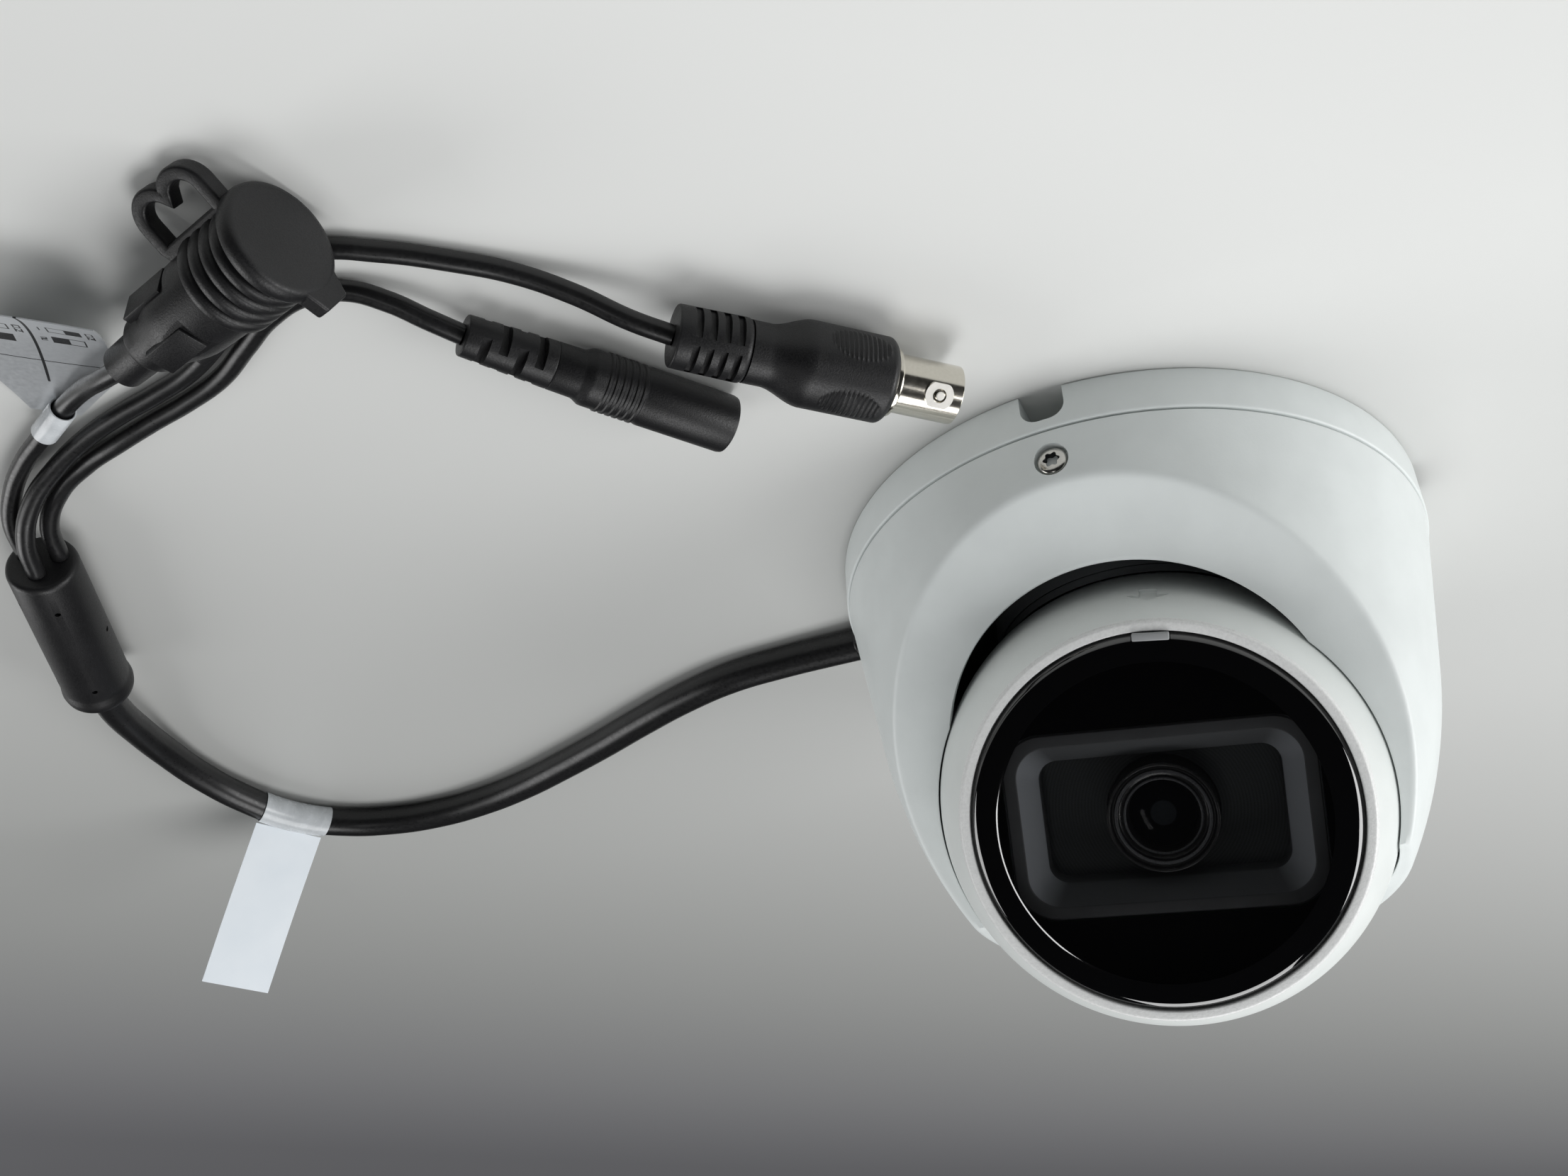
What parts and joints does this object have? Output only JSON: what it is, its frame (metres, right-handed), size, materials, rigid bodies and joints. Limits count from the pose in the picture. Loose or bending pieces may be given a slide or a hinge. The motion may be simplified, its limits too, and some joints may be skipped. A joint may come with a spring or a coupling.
{
  "type": "turret CCTV camera",
  "caption": "White turret security camera on a round base, its ball tilted forward behind a black window, with a cable set ending in video, power and switch leads.",
  "frame": {"origin": "middle of the base's underside, on the table or wall", "axes": "+Z out of the wall along the base's axis, -Y towards the low front of the cover and its lock screw, +X towards the cable exit"},
  "size_m": [0.2907, 0.2156, 0.0928],
  "materials": {
    "white_paint": "fine orange-peel powder coat",
    "shell_white": "satin powder coat",
    "black_plastic": "moulded, fine grain",
    "black_rubber": "satin",
    "cable_jacket": "satin PVC",
    "window_black": "polished, dark tint",
    "lens_coated": "polished, coated",
    "anodised": "black anodised",
    "aluminium": "plain",
    "stainless": "turned",
    "nickel": "nickel plated",
    "gold": "gold flash",
    "circuit_board": "solder resist",
    "chip": "smooth",
    "lamp": "clear dome on a yellow base",
    "frosted": "frosted",
    "switch_red": "moulded",
    "white_plastic": "moulded",
    "label_white": "coated paper",
    "label_foil": "matt foil"
  },
  "bodies": {
    "base": {"base_plate": "white_paint", "inner_lead": "cable_jacket", "cable_grommet": "black_rubber", "main_cable": "cable_jacket", "cable_tag": "label_white", "junction": "black_rubber", "tail_switch": "cable_jacket", "tail_power": "cable_jacket", "tail_video": "cable_jacket", "switch_tag": "label_foil", "switch_pod": "black_rubber", "dip_block": "switch_red", "dc_relief": "black_rubber", "dc_body": "black_rubber", "dc_contact": "nickel", "dc_pin": "nickel", "bnc_relief": "black_rubber", "bnc_body": "black_rubber", "bnc_barrel": "nickel", "bnc_insulator": "white_plastic", "bnc_contact": "gold"},
    "head": {"cover": "white_paint", "lock_screw": "stainless", "cover_screws": "stainless", "ball_seat": "black_plastic", "friction_ring": "black_rubber"},
    "gimbal": {"cable_gland": "black_plastic"},
    "eyeball": {"front_shell": "shell_white", "rear_shell": "black_plastic", "shell_screws": "stainless", "window": "window_black", "window_seal": "black_rubber", "bezel_clip": "frosted", "light_shield": "black_rubber", "lens_plate": "black_plastic", "lens_barrel": "anodised", "lens_glass": "lens_coated", "lens_holder": "black_plastic", "image_sensor": "chip", "sensor_board": "circuit_board", "heat_bracket": "aluminium", "main_board": "circuit_board", "board_screws": "stainless", "ir_board": "circuit_board", "ir_leds": "lamp", "light_sensor": "chip"},
    "pod_lid": {"pod_cap": "black_rubber"},
    "switch_1": {"dip_slider_1": "white_plastic"},
    "switch_2": {"dip_slider_2": "white_plastic"}
  },
  "joints": [
    {"name": "pan", "type": "hinge", "parent": "base", "child": "head", "pos_m": [0, 0, 0], "axis": [0, 0, 1], "range_deg": [-180, 180], "deforming": ["inner_lead"]},
    {"name": "tilt", "type": "hinge", "parent": "head", "child": "gimbal", "pos_m": [0, -0.003, 0.0535], "axis": [0.9936, -0.1132, 0], "range_deg": [-52.3, 25.7], "deforming": ["inner_lead"]},
    {"name": "turn", "type": "hinge", "parent": "gimbal", "child": "eyeball", "pos_m": [0, -0.003, 0.0535], "axis": [-0.0896, -0.7861, 0.6115], "range_deg": [-180, 180]},
    {"name": "cap_pull", "type": "slide", "parent": "base", "child": "pod_lid", "axis": [-0.9659, -0.2588, 0], "range_m": [0, 0.012]},
    {"name": "switch_1_slide", "type": "slide", "parent": "base", "child": "switch_1", "axis": [0.2588, -0.9659, 0], "range_m": [0, 0.0012]},
    {"name": "switch_2_slide", "type": "slide", "parent": "base", "child": "switch_2", "axis": [0.2588, -0.9659, 0], "range_m": [0, 0.0012]}
  ]
}
